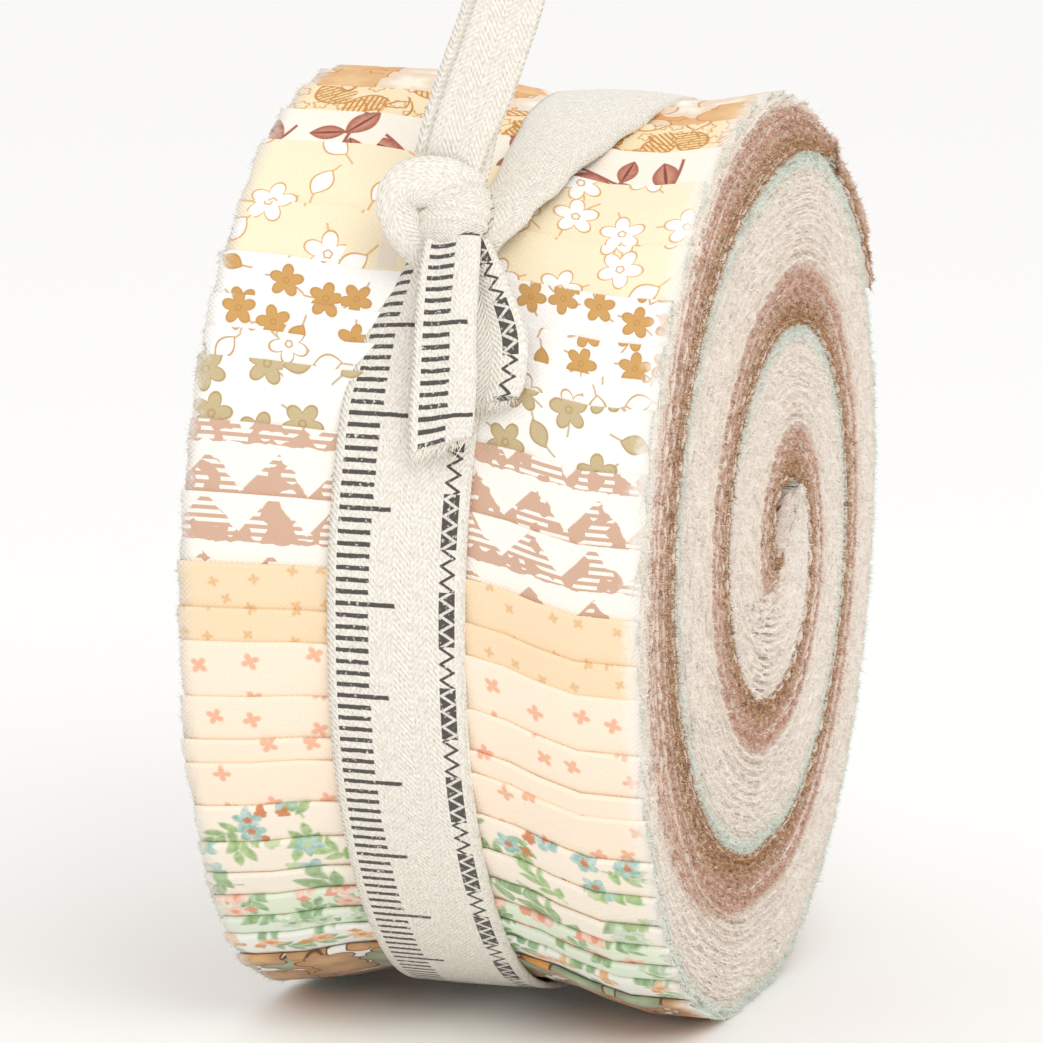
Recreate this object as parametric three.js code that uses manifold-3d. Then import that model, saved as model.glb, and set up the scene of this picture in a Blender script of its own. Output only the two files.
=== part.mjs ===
// A roll of forty quilting fabric strips, stood on its rim and tied round the middle with twill tape.
// Each strip is folded in half, the forty are stacked, and the stack is rolled up, so the free folded
// ends step round the outside and the cut edges make a spiral on both ends.
// Millimetres, +Z up. The roll's axis lies along X, its front faces -Y, and it stands on Z = 0 with
// its outer box centred on the Z axis.

import * as THREE from 'three';
import Module from 'manifold-3d';

const wasm = await Module();
wasm.setup();

// The stack of strips
const STRIP_WIDTH = 63.5; // two and a half inches
const TURN_PITCH = 24.2; // forty folded strips thick: how far out each turn lies from the last
const CORE_RADIUS = 3.4; // inner side of the stack where its winding angle is zero
const TIGHTEST = 0.5; // smallest radius of that inner side
const OVALNESS = 0.1; // how much flatter the winding is from top to bottom, outside its core
const OVAL_FROM = 200; // winding angle at which it has become that flat
const EYE = { y: -2.0, z: -0.4 }; // where the middle of the core lies from the centre of the rim
const DOME = 3.0; // how far the middle of the roll is pushed out towards +X
const DOME_RADIUS = 64;
const SEAM_DEPTH = 1.1; // groove on the end faces between one turn of the stack and the next
const EDGE_SOFTNESS = 0.7; // rounding of the rim

// Winding angles in degrees: 0 at the front, 90 at the top, 180 at the back, 270 underneath
const FIRST_END = -59.5; // where the outermost strip ends
const SEAT_ANGLE = 127; // where the loose end leaves the roll
const CORE_START = -70; // winding angle of the stack's first end, at the core
const SEAM_LIFT = { from: 795, to: 847, by: 3.2 }; // the innermost strips rise to the loose end

// The folded ends that show, from the outermost strip inwards, measured on the right rim
const STRIP_ENDS = [
  -59.5, -53.5, -49.8, -45.5, -41.6, -36.4, -30.8, -24.6, -21.6, -16.1, -9.2, -5.2, 0.2, 8.4, 17, 24.8,
  28.5, 32.9, 39, 47.1, 58.5, 66.2, 75, 84.1, 90, 96, 102, 108, 114, 120,
];
const END_SKEW = 3.8; // degrees that the ends climb from the right rim to the left
const END_STEP = 1.0; // height of one folded end
const END_SLOPE = 0.3; // half the angle over which an end falls away

// Radius of the rim from the centre of the winding
const RIM = [
  { at: -59.5, radius: 66.9 },
  { at: -30, radius: 66.2 },
  { at: 0, radius: 65.3 },
  { at: 30, radius: 64.6 },
  { at: 60, radius: 63.7 },
  { at: 90, radius: 62.7 },
  { at: 120, radius: 61.6 },
  { at: 150, radius: 64.2 },
  { at: 168, radius: 65.0 },
  { at: 190, radius: 64.8 },
  { at: 240, radius: 64.8 },
  { at: 272, radius: 65.3 },
  { at: 300.5, radius: 66.9 },
];

// The loose end: the innermost strips, lifting off the roll behind its top
const LOOSE_END = [
  { at: 127.8, seat: 2.5, gap: 0.7, thickness: 2.0 },
  { at: 137, seat: 2.1, gap: 0.9, thickness: 2.6 },
  { at: 145, seat: 1.5, gap: 1.6, thickness: 3.0 },
  { at: 155.5, seat: 0.9, gap: 3.4, thickness: 3.0 },
  { at: 172, seat: 0, gap: 0, thickness: 0 },
];
const LOOSE_STOP = 155.5;
const TIED_GAP = 0.7; // gap left under the loose end where the tape holds it down
const TIED_LIFT = 0.7; // extra room for the tape over it
const LOOSE_STEPS = 8;

// The tie pulls the roll in at its middle
const TAPE_WIDTH = 19; // three quarters of an inch
const TAPE_THICKNESS = 1.0;
const TAPE_CLEARANCE = 0.65;
const WAIST_SHOULDER = 17; // width over which the roll swells again beside the tape
const WAIST_FRONT = 4.0; // depth of the waist underneath
const WAIST_TOP = 2.2; // depth of the waist on top
const LEFT_SLIMMING = 0.8; // the left rim is this much smaller underneath

const FLOOR_CUT = 1.3; // height of the small flat that the roll stands on

// The tape's route round the roll, starting in the knot and going down the front
const TAPE_ROUTE = [
  { at: 47, x: -0.8, width: 7, lift: 2.6 },
  { at: 42, x: -1.6, width: 10, lift: 1.4 },
  { at: 34, x: -2.3, width: 16, lift: 0.2 },
  { at: 24, x: -2.4, width: 19, lift: 0 },
  { at: -60, x: -2.4, width: 19, lift: 0 },
  { at: -180, x: -2.4, width: 19, lift: 0 },
  { at: -232, x: 4.0, width: 19, lift: 0 },
  { at: -265, x: 9.6, width: 18, lift: 0.2 },
  { at: -285, x: 9.4, width: 14, lift: 0.9 },
  { at: -297, x: 7.8, width: 9.5, lift: 1.8 },
  { at: -305, x: 5.6, width: 7.5, lift: 2.8 },
  { at: -309, x: 3.4, width: 6.5, lift: 3.6 },
];
const ROUTE_START = 47;
const ROUTE_STOP = -309;

// The knot and the tape that leaves it: places in x, y, z from the centre of the winding
const KNOT = { x: 0.4, y: -46.8, z: 50.2, width: 11.0, height: 10.4, depth: 8.0, lean: 40 };
const KNOT_RIBS = 6; // gathered ridges of the tape that wraps it
const RIB_DEPTH = 0.4;
const JOIN_GAP = 0.35; // between the knot and the band and loop that run into it

const BIGHT = [
  { x: 0.6, y: -50.4, z: 53.6, width: 6.0 },
  { x: -3.8, y: -50.8, z: 54.5, width: 6.2 },
  { x: -6.6, y: -51.0, z: 51.5, width: 4.6 },
  { x: -5.8, y: -52.2, z: 47.2, width: 5.0 },
  { x: -2.6, y: -53.0, z: 43.8, width: 5.0 },
  { x: 0.4, y: -52.2, z: 43.6, width: 5.0 },
];
const TAIL_FRONT = [
  { x: 0.8, y: -50.2, z: 48.4, width: 7.6 },
  { x: 1.5, y: -54.4, z: 43.2, width: 8.0 },
  { x: 2.4, y: -57.4, z: 37.0, width: 8.3 },
  { x: 3.0, y: -59.4, z: 31.0, width: 8.9 },
  { x: 3.6, y: -61.4, z: 25.5, width: 9.4 },
  { x: 4.2, y: -62.8, z: 20.5, width: 8.6 },
];
const TAIL_BACK = [
  { x: 2.4, y: -50.0, z: 47.2, width: 4.6 },
  { x: 6.0, y: -53.8, z: 41.4, width: 5.6 },
  { x: 9.4, y: -56.8, z: 35.2, width: 6.6 },
  { x: 11.4, y: -59.0, z: 29.6, width: 6.0 },
];
const LOOP = [
  { x: -0.4, y: -45.4, z: 52.4, width: 7.6 },
  { x: -0.6, y: -45.4, z: 57.0, width: 8.8 },
  { x: 0.7, y: -45.2, z: 61.8, width: 9.4 },
  { x: 2.5, y: -45.0, z: 66.4, width: 10.2 },
  { x: 4.8, y: -45.0, z: 72.8, width: 10.2 },
  { x: 7.0, y: -44.8, z: 79.6, width: 10.2 },
  { x: 8.0, y: -43.8, z: 85.0, width: 9.8 },
  { x: 7.6, y: -40.4, z: 88.4, width: 9.6 },
  { x: 6.0, y: -36.9, z: 85.4, width: 9.4 },
  { x: 4.0, y: -35.8, z: 78.6, width: 9.2 },
  { x: 2.0, y: -36.6, z: 71.4, width: 9.0 },
  { x: 0.6, y: -39.6, z: 62.6, width: 8.4 },
  { x: 0.2, y: -43.4, z: 54.6, width: 7.4 },
];
const FOLDED_THICKNESS = 1.6; // tape folded lengthwise, as the loop and the tail are

// Steps of the meshes
const REST_STEP = 7; // degrees between sections where no strip ends
const TAPE_STEP = 6;
const ACROSS_STACK = [0, 0.07, 0.5, 0.93]; // places across the stack on the end faces
const BESIDE_TAPE = [0, 0.35, 0.7]; // places between the rim and the tape

const COLOURS = { cream: 0xefe4d2, gold: 0xc79a62, twill: 0xeee8dc };

const radians = (degrees) => (degrees * Math.PI) / 180;
const mix = (a, b, t) => a + (b - a) * t;
const smooth = (t) => {
  const c = Math.min(1, Math.max(0, t));
  return c * c * (3 - 2 * c);
};
// The same angle, from the first strip's end to one turn later.
const wrapped = (angle) => FIRST_END + ((((angle - FIRST_END) % 360) + 360) % 360);
const onRoll = (angle, radius, x) =>
  new THREE.Vector3(x, -radius * Math.cos(radians(angle)), radius * Math.sin(radians(angle)));

// A smooth value between the rows of a table, whose column "at" rises.
function follow(rows, column, at) {
  const found = rows.findLastIndex((row) => row.at <= at);
  const i = Math.max(0, Math.min(rows.length - 2, found));
  const t = (at - rows[i].at) / (rows[i + 1].at - rows[i].at);
  return mix(rows[i][column], rows[i + 1][column], smooth(t));
}

// Radius of the roll before the tie draws it in. It is lower under the loose end.
function rimRadius(angle) {
  const at = wrapped(angle);
  const seat = at > SEAT_ANGLE ? follow(LOOSE_END, 'seat', at) : 0;
  return follow(RIM, 'radius', at) - seat;
}

const ROUTE_BACKWARDS = [...TAPE_ROUTE].reverse();
const routeAt = (angle) => {
  const at = wrapped(angle);
  return at > ROUTE_START ? at - 360 : at;
};
const tapeX = (angle) => follow(ROUTE_BACKWARDS, 'x', routeAt(angle));
const besideTape = (angle, x) => Math.max(0, Math.abs(x - tapeX(angle)) - TAPE_WIDTH / 2);

// How far the tie and the slimmer left side draw the roll in.
function drawnIn(angle, x) {
  const low = (1 - Math.sin(radians(angle))) / 2;
  const waist = mix(WAIST_TOP, WAIST_FRONT, low) * (1 - smooth(besideTape(angle, x) / WAIST_SHOULDER));
  return waist + LEFT_SLIMMING * low * smooth((-2 * x) / STRIP_WIDTH);
}

// The ends climb towards the left, but not round the back, where one strip covers the roll.
function skewAt(angle, x) {
  const at = wrapped(angle);
  const behind = smooth((at - SEAT_ANGLE) / 30) * (1 - smooth((at - 262) / 38));
  return END_SKEW * (1 - smooth((x - 4) / 22)) * (1 - behind);
}

// Angles round one turn, with the height of the step there: two beside each end, others in between.
function turnColumns() {
  const rows = STRIP_ENDS.flatMap((end) => [
    { at: end - END_SLOPE, rise: 0.5 },
    { at: end + END_SLOPE, rise: -0.5 },
  ]);
  rows.push({ at: SEAT_ANGLE - END_SLOPE, rise: 0 }, { at: SEAT_ANGLE + END_SLOPE, rise: 0 });
  const closed = [...rows, { at: rows[0].at + 360, rise: rows[0].rise }];
  return rows.flatMap((row, i) => {
    const next = closed[i + 1];
    const pieces = Math.ceil((next.at - row.at) / REST_STEP);
    return Array.from({ length: pieces }, (_, k) => ({
      at: mix(row.at, next.at, k / pieces),
      rise: mix(row.rise, next.rise, k / pieces),
    }));
  });
}

// Inner side of the stack at a winding angle that counts on through the turns.
function innerRadius(winding) {
  const plain = Math.max(TIGHTEST, CORE_RADIUS + (TURN_PITCH * winding) / 360);
  const lift = SEAM_LIFT.by * smooth((winding - SEAM_LIFT.from) / (SEAM_LIFT.to - SEAM_LIFT.from));
  const oval = OVALNESS * smooth(winding / OVAL_FROM);
  return plain * (1 - oval * Math.sin(radians(winding)) ** 2) + lift;
}

// How much of the dome and of the core's shift a radius has: all of it in the middle, none at the rim.
const inward = (radius) => 1 - (radius / DOME_RADIUS) ** 2;

// Outside radius of the roll, with the steps of the strips' ends, which the tape presses flat.
function outside(column, x) {
  const pressed = 1 - 0.8 * (1 - smooth((besideTape(column.at, x) - 1) / 5));
  return rimRadius(column.at) - drawnIn(column.at, x) + END_STEP * column.rise * pressed;
}

// A closed surface that is gathered point by point and triangle by triangle.
class Surface {
  constructor() {
    this.points = [];
    this.triangles = [];
  }

  point(v) {
    this.points.push(v);
    return this.points.length - 1;
  }

  triangle(a, b, c) {
    if (a !== b && b !== c && c !== a) this.triangles.push(a, b, c);
  }

  // The quad a, b, c, d seen anticlockwise from outside.
  quad(a, b, c, d) {
    this.triangle(a, b, c);
    this.triangle(a, c, d);
  }
}

// One end face: the stack's edge wound from the core outwards, turn beside turn, up to the rim.
function endFace(surface, columns, rim, side) {
  const n = columns.length;
  const x = (side * STRIP_WIDTH) / 2;
  const place = (c, radius, depth) => {
    const column = columns[c % n];
    const angle = column.at + skewAt(column.at, x);
    const v = onRoll(angle, radius, x + DOME * inward(radius) - side * depth);
    return surface.point(v.add(new THREE.Vector3(0, EYE.y, EYE.z).multiplyScalar(inward(radius))));
  };
  const windingOf = (c) => columns[c % n].at + 360 * (Math.floor(c / n) - 1);
  const first = columns.findIndex((column) => column.at - 360 >= CORE_START);
  const last = 3 * n + columns.findIndex((column) => column.at > SEAT_ANGLE);
  const rows = new Map();
  for (let c = last; c >= first; c--) {
    const edge = c + n <= last ? rows.get(c + n)[0] : rim[c % n];
    const outer = c + n <= last ? innerRadius(windingOf(c + n)) : null;
    const inner = c === first ? 0 : innerRadius(windingOf(c));
    const reach = outer ?? outside(columns[c % n], x) - EDGE_SOFTNESS;
    if (c === last) {
      rows.set(c, ACROSS_STACK.map(() => edge).concat(edge));
      continue;
    }
    const points = ACROSS_STACK.map((s) => place(c, mix(inner, reach, s), s === 0 && inner > 0 ? SEAM_DEPTH : 0));
    rows.set(c, [...points, edge]);
  }
  const facing = (a, b, c, d) => (side > 0 ? surface.quad(a, b, c, d) : surface.quad(d, c, b, a));
  for (let c = first; c < last; c++) {
    const here = rows.get(c);
    const there = rows.get(c + 1);
    for (let k = 0; k + 1 < here.length; k++) facing(here[k + 1], here[k], there[k], there[k + 1]);
  }
  // The core inside the first turn is a fan from the middle.
  const middle = rows.get(first)[0];
  for (let c = first + 1; c < first + n - 1; c++) facing(middle, middle, rows.get(c + 1)[0], rows.get(c)[0]);
  const beforeClose = rows.get(first + n - 1)[0];
  const start = rows.get(first);
  for (let k = 0; k + 1 < start.length; k++) facing(beforeClose, beforeClose, start[k], start[k + 1]);
}

// Places across the width, from left to right, which crowd towards the tape.
function acrossWidth(angle) {
  const rim = STRIP_WIDTH / 2 - EDGE_SOFTNESS;
  const left = tapeX(angle) - TAPE_WIDTH / 2 - 1;
  const right = left + TAPE_WIDTH + 2;
  return [
    ...BESIDE_TAPE.map((s) => mix(-rim, left, s)), left, (left + right) / 2, right,
    ...BESIDE_TAPE.map((s) => mix(rim, right, s)).reverse(),
  ];
}

// The wound roll as one closed solid.
function rollSurface() {
  const surface = new Surface();
  const columns = turnColumns();
  const half = STRIP_WIDTH / 2;
  const grid = columns.map((column) => {
    const points = acrossWidth(column.at).map((x) => onRoll(column.at + skewAt(column.at, x), outside(column, x), x));
    const corner = (x) =>
      onRoll(column.at + skewAt(column.at, x), outside(column, x) - EDGE_SOFTNESS, x);
    return [corner(-half), ...points, corner(half)].map((v) => surface.point(v));
  });
  grid.forEach((row, j) => {
    const next = grid[(j + 1) % grid.length];
    for (let i = 0; i + 1 < row.length; i++) surface.quad(row[i], row[i + 1], next[i + 1], next[i]);
  });
  endFace(surface, columns, grid.map((row) => row.at(-1)), 1);
  endFace(surface, columns, grid.map((row) => row[0]), -1);
  return surface;
}

// A closed body from cross-sections, each a ring that goes out along one side of a flat form and
// back along the other, joined end to end.
function loft(rings) {
  const surface = new Surface();
  const ids = rings.map((ring) => ring.map((v) => surface.point(v)));
  const count = rings[0].length;
  for (let i = 0; i + 1 < ids.length; i++) {
    for (let k = 0; k < count; k++) {
      const m = (k + 1) % count;
      surface.quad(ids[i][k], ids[i][m], ids[i + 1][m], ids[i + 1][k]);
    }
  }
  const [head, foot] = [ids[0], ids.at(-1)];
  for (let k = 0; k + 1 < count / 2; k++) {
    const m = count - 1 - k;
    surface.quad(head[k + 1], head[k], head[m], head[m - 1]);
    surface.quad(foot[k], foot[k + 1], foot[m - 1], foot[m]);
  }
  return surface;
}

// The loose end: a curved sheet as wide as the strips, pinched in its middle by the tape.
function looseEnd() {
  const rings = Array.from({ length: LOOSE_STEPS + 1 }, (_, i) => {
    const at = mix(LOOSE_END[0].at, LOOSE_STOP, i / LOOSE_STEPS);
    const thickness = follow(LOOSE_END, 'thickness', at);
    const stations = acrossWidth(at);
    const inner = (x) => {
      const free = smooth(besideTape(at, x) / 12);
      return rimRadius(at) - drawnIn(at, x) + mix(TIED_GAP, follow(LOOSE_END, 'gap', at), free);
    };
    const point = (x, radius) => onRoll(at + skewAt(at, x), radius, x);
    return [
      ...stations.map((x) => point(x, inner(x) + thickness)),
      ...stations.reverse().map((x) => point(x, inner(x))),
    ];
  });
  return loft(rings);
}

// A flat section with soft edges, width along the first axis and thickness along the second.
function tapeSection(width, thickness) {
  const w = width / 2;
  const t = thickness / 2;
  return [[-w, -t / 2], [-w + t, -t], [w - t, -t], [w, -t / 2], [w, t / 2], [w - t, t], [-w + t, t], [-w, t / 2]];
}

// A length of tape along places, each with its width; across gives the direction of its width.
function tapeAlong(places, thickness, across) {
  const rings = places.map((place, i) => {
    const before = places[Math.max(0, i - 1)].at;
    const after = places[Math.min(places.length - 1, i + 1)].at;
    const along = after.clone().sub(before).normalize();
    const wide = across(place.at, along);
    wide.addScaledVector(along, -wide.dot(along)).normalize();
    const proud = along.clone().cross(wide);
    return tapeSection(place.width, thickness).map(([a, b]) =>
      place.at.clone().addScaledVector(wide, a).addScaledVector(proud, b));
  });
  return loft(rings);
}

// Evenly spaced places on a smooth curve through the rows of a table.
function smoothPlaces(rows, count) {
  const curve = new THREE.CatmullRomCurve3(rows.map((row) => new THREE.Vector3(row.x, row.y, row.z)));
  return Array.from({ length: count }, (_, i) => {
    const t = i / (count - 1);
    const row = Math.min(rows.length - 2, Math.floor(t * (rows.length - 1)));
    const width = mix(rows[row].width, rows[row + 1].width, t * (rows.length - 1) - row);
    return { at: curve.getPoint(t), width };
  });
}

const sideways = () => new THREE.Vector3(1, 0, 0);
const alongRim = (at, along) => new THREE.Vector3(0, at.y, at.z).normalize().cross(along);

// Height of the tape over the roll where it crosses the loose end and slopes down behind it.
function overLooseEnd(angle) {
  const at = wrapped(angle);
  if (at < SEAT_ANGLE) return 0;
  const height = follow(LOOSE_END, 'thickness', Math.min(at, LOOSE_STOP)) + TIED_GAP + TIED_LIFT;
  const slope = smooth((at - LOOSE_STOP - 4) / 22);
  return height * (1 - slope);
}

// The band round the roll, from the front of the knot to its top.
function tapeBand() {
  const steps = Math.round((ROUTE_START - ROUTE_STOP) / TAPE_STEP);
  const places = Array.from({ length: steps + 1 }, (_, i) => {
    const route = mix(ROUTE_START, ROUTE_STOP, i / steps);
    const row = (column) => follow(ROUTE_BACKWARDS, column, route);
    const x = row('x');
    const bed = rimRadius(route) - drawnIn(route, x) + overLooseEnd(route);
    const radius = bed + TAPE_CLEARANCE + TAPE_THICKNESS / 2 + row('lift');
    return { at: onRoll(route, radius, x), width: row('width') };
  });
  return tapeAlong(places, TAPE_THICKNESS, sideways);
}

// The knot's body: an upright barrel, gathered into ridges, that leans back on the rim.
function knotBody(extra) {
  const around = 18;
  const up = 14;
  const surface = new Surface();
  const turn = new THREE.Matrix4().makeRotationX(radians(-KNOT.lean));
  const move = new THREE.Matrix4().makeTranslation(KNOT.x, KNOT.y, KNOT.z);
  const place = (latitude, longitude) => {
    const ridge = 1 + (RIB_DEPTH / KNOT.depth) * Math.cos(2 * KNOT_RIBS * latitude);
    const girth = Math.cos(latitude) ** 0.6 * ridge;
    const v = new THREE.Vector3(
      (KNOT.width / 2 + extra) * girth * Math.cos(longitude),
      (KNOT.depth / 2 + extra) * girth * Math.sin(longitude),
      (KNOT.height / 2 + extra) * Math.sin(latitude),
    );
    return surface.point(v.applyMatrix4(turn).applyMatrix4(move));
  };
  const rings = Array.from({ length: up - 1 }, (_, i) =>
    Array.from({ length: around }, (_, k) =>
      place(Math.PI * ((i + 1) / up - 0.5), (2 * Math.PI * k) / around)));
  const bottom = place(-Math.PI / 2, 0);
  const top = place(Math.PI / 2, 0);
  for (let k = 0; k < around; k++) {
    const m = (k + 1) % around;
    surface.triangle(bottom, rings[0][m], rings[0][k]);
    surface.triangle(top, rings.at(-1)[k], rings.at(-1)[m]);
    for (let i = 0; i + 1 < rings.length; i++)
      surface.quad(rings[i][k], rings[i][m], rings[i + 1][m], rings[i + 1][k]);
  }
  return surface;
}

function solidOf(surface) {
  const vertProperties = new Float32Array(surface.points.flatMap((v) => [v.x, v.y, v.z]));
  const triVerts = new Uint32Array(surface.triangles);
  return new wasm.Manifold(new wasm.Mesh({ numProp: 3, vertProperties, triVerts }));
}

function meshOf(name, solid, colour) {
  const { vertProperties, triVerts } = solid.getMesh();
  const geometry = new THREE.BufferGeometry();
  geometry.setAttribute('position', new THREE.BufferAttribute(vertProperties, 3));
  geometry.setIndex(new THREE.BufferAttribute(triVerts, 1));
  geometry.computeVertexNormals();
  const material = new THREE.MeshStandardMaterial({ color: colour, roughness: 0.9, metalness: 0 });
  const mesh = new THREE.Mesh(geometry, material);
  mesh.name = name;
  return mesh;
}

// Put together. The roll's lowest part is pressed flat where it stands.
const roll = rollSurface();
const floor = Math.min(...roll.points.map((v) => v.z)) + FLOOR_CUT;
for (const v of roll.points) v.z = Math.max(v.z, floor);

const knotRoom = solidOf(knotBody(JOIN_GAP));
const tail = solidOf(tapeAlong(smoothPlaces(TAIL_FRONT, 13), FOLDED_THICKNESS, sideways))
  .add(solidOf(tapeAlong(smoothPlaces(TAIL_BACK, 9), TAPE_THICKNESS, sideways)));
const bight = solidOf(tapeAlong(smoothPlaces(BIGHT, 15), FOLDED_THICKNESS, alongRim));
const knot = solidOf(knotBody(0)).add(bight).add(tail);
const band = solidOf(tapeBand()).subtract(knotRoom);
const loop = solidOf(tapeAlong(smoothPlaces(LOOP, 37), FOLDED_THICKNESS, sideways)).subtract(knotRoom);

const standing = new THREE.Group();
standing.add(
  meshOf('fabric_roll', solidOf(roll), COLOURS.cream),
  meshOf('loose_end', solidOf(looseEnd()), COLOURS.gold),
  meshOf('tape_band', band, COLOURS.twill),
  meshOf('tape_knot', knot, COLOURS.twill),
  meshOf('tape_loop', loop, COLOURS.twill),
);
const box = new THREE.Box3().setFromObject(standing);
const middle = box.getCenter(new THREE.Vector3());
standing.position.set(-middle.x, -middle.y, -floor);

export default standing;
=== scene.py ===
import math
from functools import partialmethod

import bpy
import numpy as np
from mathutils import Matrix, Vector


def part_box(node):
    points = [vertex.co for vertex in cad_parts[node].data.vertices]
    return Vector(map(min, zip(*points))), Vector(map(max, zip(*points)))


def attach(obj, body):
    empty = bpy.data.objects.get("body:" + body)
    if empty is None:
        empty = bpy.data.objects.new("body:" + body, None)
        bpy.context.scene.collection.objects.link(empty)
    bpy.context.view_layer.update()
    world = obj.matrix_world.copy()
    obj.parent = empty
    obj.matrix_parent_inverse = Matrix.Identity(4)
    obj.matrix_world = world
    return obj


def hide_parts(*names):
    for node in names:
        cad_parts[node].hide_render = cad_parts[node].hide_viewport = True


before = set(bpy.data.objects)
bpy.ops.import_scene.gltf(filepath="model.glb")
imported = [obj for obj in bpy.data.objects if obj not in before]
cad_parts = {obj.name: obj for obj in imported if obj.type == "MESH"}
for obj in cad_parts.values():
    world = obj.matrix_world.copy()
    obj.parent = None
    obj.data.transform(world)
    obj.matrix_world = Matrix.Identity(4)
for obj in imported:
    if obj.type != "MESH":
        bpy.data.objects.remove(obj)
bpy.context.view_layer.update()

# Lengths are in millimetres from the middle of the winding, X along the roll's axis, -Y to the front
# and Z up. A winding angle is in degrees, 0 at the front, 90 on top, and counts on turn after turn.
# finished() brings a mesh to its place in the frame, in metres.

MM = 0.001
WINDING_MIDDLE = Vector((31.79, 65.80, 64.36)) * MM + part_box("fabric_roll")[0]


# The camera
# It stands to the right of the roll's front and a little above it, close enough for the ends of the
# strips to converge slightly. Its aim is kept off the winding's middle by the lens shift.

CAMERA_AZIMUTH = math.radians(15.765)
CAMERA_HEIGHT = math.radians(10.0)
CAMERA_ROLL = math.radians(0.676)
CAMERA_DISTANCE = 1200
CAMERA_SENSOR = 36
CAMERA_LENS = 296.94
CAMERA_SHIFT = (-0.0214, 0.0094)


def in_scene(name, data):
    """A new object, linked to the scene."""
    made = bpy.data.objects.new(name, data)
    bpy.context.scene.collection.objects.link(made)
    return made


back = Vector((
    math.sin(CAMERA_AZIMUTH) * math.cos(CAMERA_HEIGHT),
    -math.cos(CAMERA_AZIMUTH) * math.cos(CAMERA_HEIGHT),
    math.sin(CAMERA_HEIGHT),
))
level = Vector((math.cos(CAMERA_AZIMUTH), math.sin(CAMERA_AZIMUTH), 0))
right = Matrix.Rotation(CAMERA_ROLL, 3, back) @ level
upward = back.cross(right)
camera = in_scene("camera", bpy.data.cameras.new("camera"))
camera.matrix_world = Matrix.Translation(WINDING_MIDDLE + back * CAMERA_DISTANCE * MM) @ Matrix(
    (right, upward, back)
).transposed().to_4x4()
camera.data.sensor_width = CAMERA_SENSOR
camera.data.lens = CAMERA_LENS
camera.data.shift_x, camera.data.shift_y = CAMERA_SHIFT
camera.data.clip_end = 10
bpy.context.scene.camera = camera


# The forty strips
# Quilting cotton cut 63.5 mm wide across the cloth, each strip folded in half, stacked and rolled up
# from the free ends of the stack, so that the folds step round the outside of the roll.

STRIP_WIDTH = 63.5
STRIP_LENGTH = 1118
STRIP_COUNT = 40
CLOTH_THICKNESS = 0.26
TURN_PITCH = 24.2
CORE_RADIUS = 3.4
TIGHTEST = 0.5
OVALNESS = 0.1
OVAL_FROM = 200
EYE = (-2.0, -0.4)
DOME = 3.0
DOME_RADIUS = 64
FLOOR_DEPTH = 64.3
SEAT_ANGLE = 127
SEAM_LIFT = (795, 847, 3.2)
OUTER_TURN = 487
FREE_END_STRETCH = 25
TIE_REACHES = (30, 35)
LOOSE_LIFTS = (-2, 12)
LOOSE_SIDE = 12

# Where each strip's fold shows, from the outermost strip inwards
STRIP_ENDS = np.array([
    -59.5, -53.5, -49.8, -45.5, -41.6, -36.4, -30.8, -24.6, -21.6, -16.1, -9.2, -5.2, 0.2, 8.4, 17, 24.8,
    28.5, 32.9, 39, 47.1, 58.5, 66.2, 75, 84.1, 90, 96, 102, 108, 114, 120,
    147.6, 148.5, 149.4, 150.3, 151.2, 152.0, 152.9, 153.8, 154.7, 155.5,
]) + 720
# Where each strip's free ends lie in the core: (strip, winding angle)
STRIP_STARTS = ((1, 30), (8, -60), (9, -215), (26, -230), (27, -35), (40, -60))
END_SKEW = 3.8
SKEW_STRETCH = 30
SKEW_ACROSS = (4, 22)
SKEW_STOPS = (SEAT_ANGLE, 30)
SKEW_RESUMES = (262, 38)
END_PUFF = 0.45
PUFF_LENGTH = 6
PUFF_SIDE = (1, 5)
LAYER_HALF_GAP = 0.15
FOLD_RADIUS = 62

RIM = (
    (-59.5, 66.9), (-30, 66.2), (0, 65.3), (30, 64.6), (60, 63.7), (90, 62.7), (120, 61.6), (150, 64.2),
    (168, 65.0), (190, 64.8), (240, 64.8), (272, 65.3), (300.5, 66.9),
)
LOOSE_SEAT = ((127.8, 2.5), (137, 2.1), (145, 1.5), (155.5, 0.9), (172, 0))
LOOSE_GAP = ((127.8, 0.7), (137, 0.9), (145, 1.6), (155.5, 3.4), (172, 3.4))
LOOSE_THICKNESS = ((127.8, 2.0), (137, 2.6), (145, 3.0), (155.5, 3.0), (172, 3.0))
LOOSE_STRIPS = 10
STEPPED_STRIPS = STRIP_COUNT - LOOSE_STRIPS
TIED_GAP = 0.7
# The brown strips' share of the stack, and the stretches of winding angle, as (start, length), in which
# they widen to their outer share and then fill the stack
BROWN_SHARE = 0.34
OUTER_BROWN_SHARE = 0.85
BROWN_WIDENS = (640, 70)
BROWN_FILLS = (815, 30)

TAPE_WIDTH = 19
TAPE_MIDDLE = (
    (-316, 3.0), (-309, 5.4), (-302, 7.2), (-290, 8.8), (-284, 9.5), (-265, 9.6), (-232, 4.0), (-180, -2.4),
    (24, -2.4), (34, -2.3), (42, -1.6), (47, -0.8),
)
ROUTE_START = 47
WAIST_SHOULDER = 17
WAIST_FRONT = 4.0
WAIST_TOP = 2.2
LEFT_SLIMMING = 0.8

rng = np.random.default_rng(40)


def smooth(t):
    """3t^2 - 2t^3 between 0 and 1, and level outside."""
    c = np.clip(t, 0, 1)
    return c * c * (3 - 2 * c)


def eased(at, stretch):
    """0 before a stretch of (start, length), and 1 after it."""
    start, length = stretch
    return smooth((at - start) / length)


def unit(vectors):
    """Each vector brought to a length of 1."""
    return vectors / np.maximum(np.linalg.norm(vectors, axis=-1, keepdims=True), 1e-9)


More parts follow.
